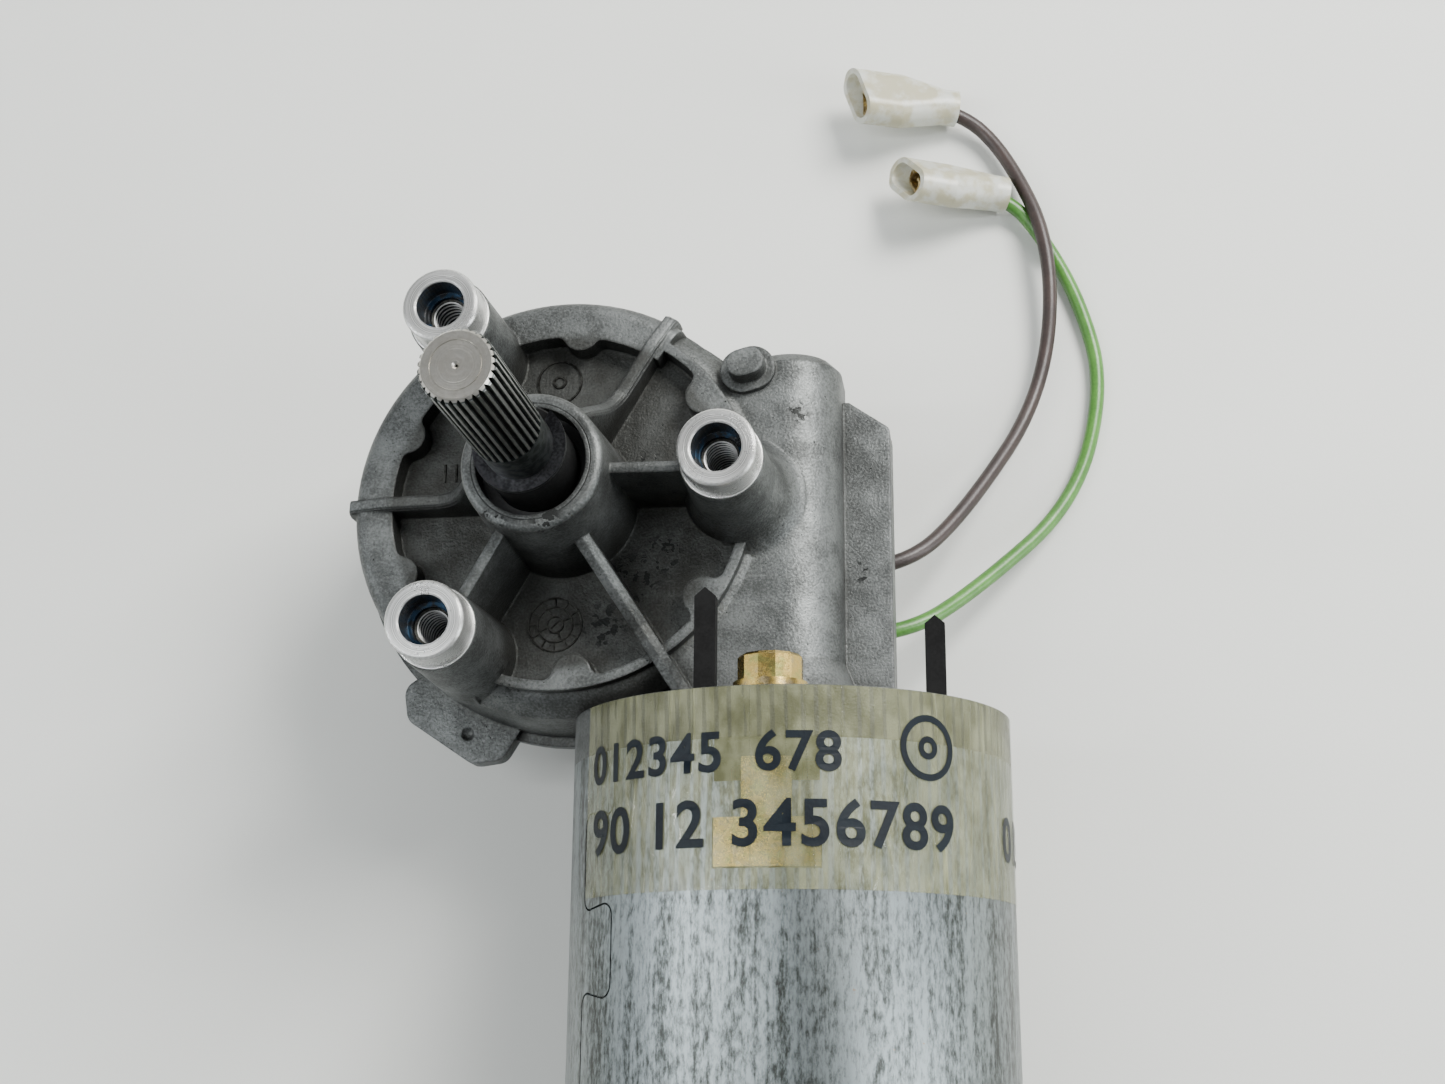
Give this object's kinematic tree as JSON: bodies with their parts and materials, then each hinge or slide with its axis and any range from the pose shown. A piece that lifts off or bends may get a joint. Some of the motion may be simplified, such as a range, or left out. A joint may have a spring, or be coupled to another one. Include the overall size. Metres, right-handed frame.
{
  "type": "geared dc motor",
  "caption": "Worm geared dc motor: serrated output shaft at right angles to a drum motor, three threaded bosses, two leads with push-on sleeves.",
  "frame": {"origin": "on the output shaft's axis, in the plane of the three boss faces", "axes": "+Z out along the output shaft; the motor axis is parallel to Y, with the can on the -Y side and the worm gear mesh on the +X side of the shaft"},
  "size_m": [0.1471, 0.268, 0.1198],
  "materials": {
    "cast": "as-cast, satin",
    "rubber_black": "matt",
    "zinc_steel": "zinc plated",
    "shaft_steel": "dark, oiled",
    "dark_steel": "blackened",
    "black_plastic": "matt black",
    "bronze": "sintered",
    "wheel_nylon": "natural",
    "lamination": "stacked sheet",
    "copper": "enamelled",
    "brass": "plain",
    "carbon": "graphite",
    "zinc_can": "zinc coated, streaked",
    "ferrite": "ground",
    "chromate": "yellow chromated",
    "tape": "clear, yellowed",
    "pvc_brown": "gloss",
    "pvc_green": "gloss",
    "clear_nylon": "translucent"
  },
  "bodies": {
    "housing": {"gearbox_housing": "cast", "gear_cover": "cast", "cover_gasket": "rubber_black", "cover_screws": "zinc_steel", "shaft_seal": "rubber_black", "shaft_bushes": "bronze", "worm_end_bush": "bronze", "thrust_screw": "dark_steel", "front_bearing_outer": "shaft_steel", "front_bearing_cage": "black_plastic", "rear_bush": "bronze", "brush_plate": "black_plastic", "brush_tubes": "brass", "brushes": "carbon", "brush_springs": "shaft_steel", "motor_can": "zinc_can", "end_cap": "zinc_can", "magnets": "ferrite", "magnet_clips": "zinc_steel", "anchor_nuts": "chromate", "flange_bolts": "chromate", "label_tape": "tape", "cable_grommet": "rubber_black", "lead_brown": "pvc_brown", "lead_green": "pvc_green", "sleeve_brown": "clear_nylon", "sleeve_green": "clear_nylon", "terminal_brown": "brass", "terminal_green": "brass"},
    "armature": {"armature_shaft": "shaft_steel", "front_bearing_inner": "shaft_steel", "armature_stack": "lamination", "armature_windings": "copper", "commutator": "copper"},
    "output": {"output_shaft": "shaft_steel", "retaining_ring": "dark_steel", "shaft_spacer": "black_plastic", "thrust_washers": "dark_steel", "wheel_hub": "shaft_steel", "worm_wheel": "wheel_nylon"}
  },
  "joints": [
    {"name": "armature_spin", "type": "hinge", "parent": "housing", "child": "armature", "pos_m": [0.0416, 0, -0.0387], "axis": [0, -1, 0], "continuous": true},
    {"name": "output_spin", "type": "hinge", "parent": "housing", "child": "output", "pos_m": [0, 0, 0], "axis": [0, 0, 1], "continuous": true}
  ],
  "couplings": [
    {"joint": "output_spin", "follows": "armature_spin", "ratio": 0.017857}
  ]
}
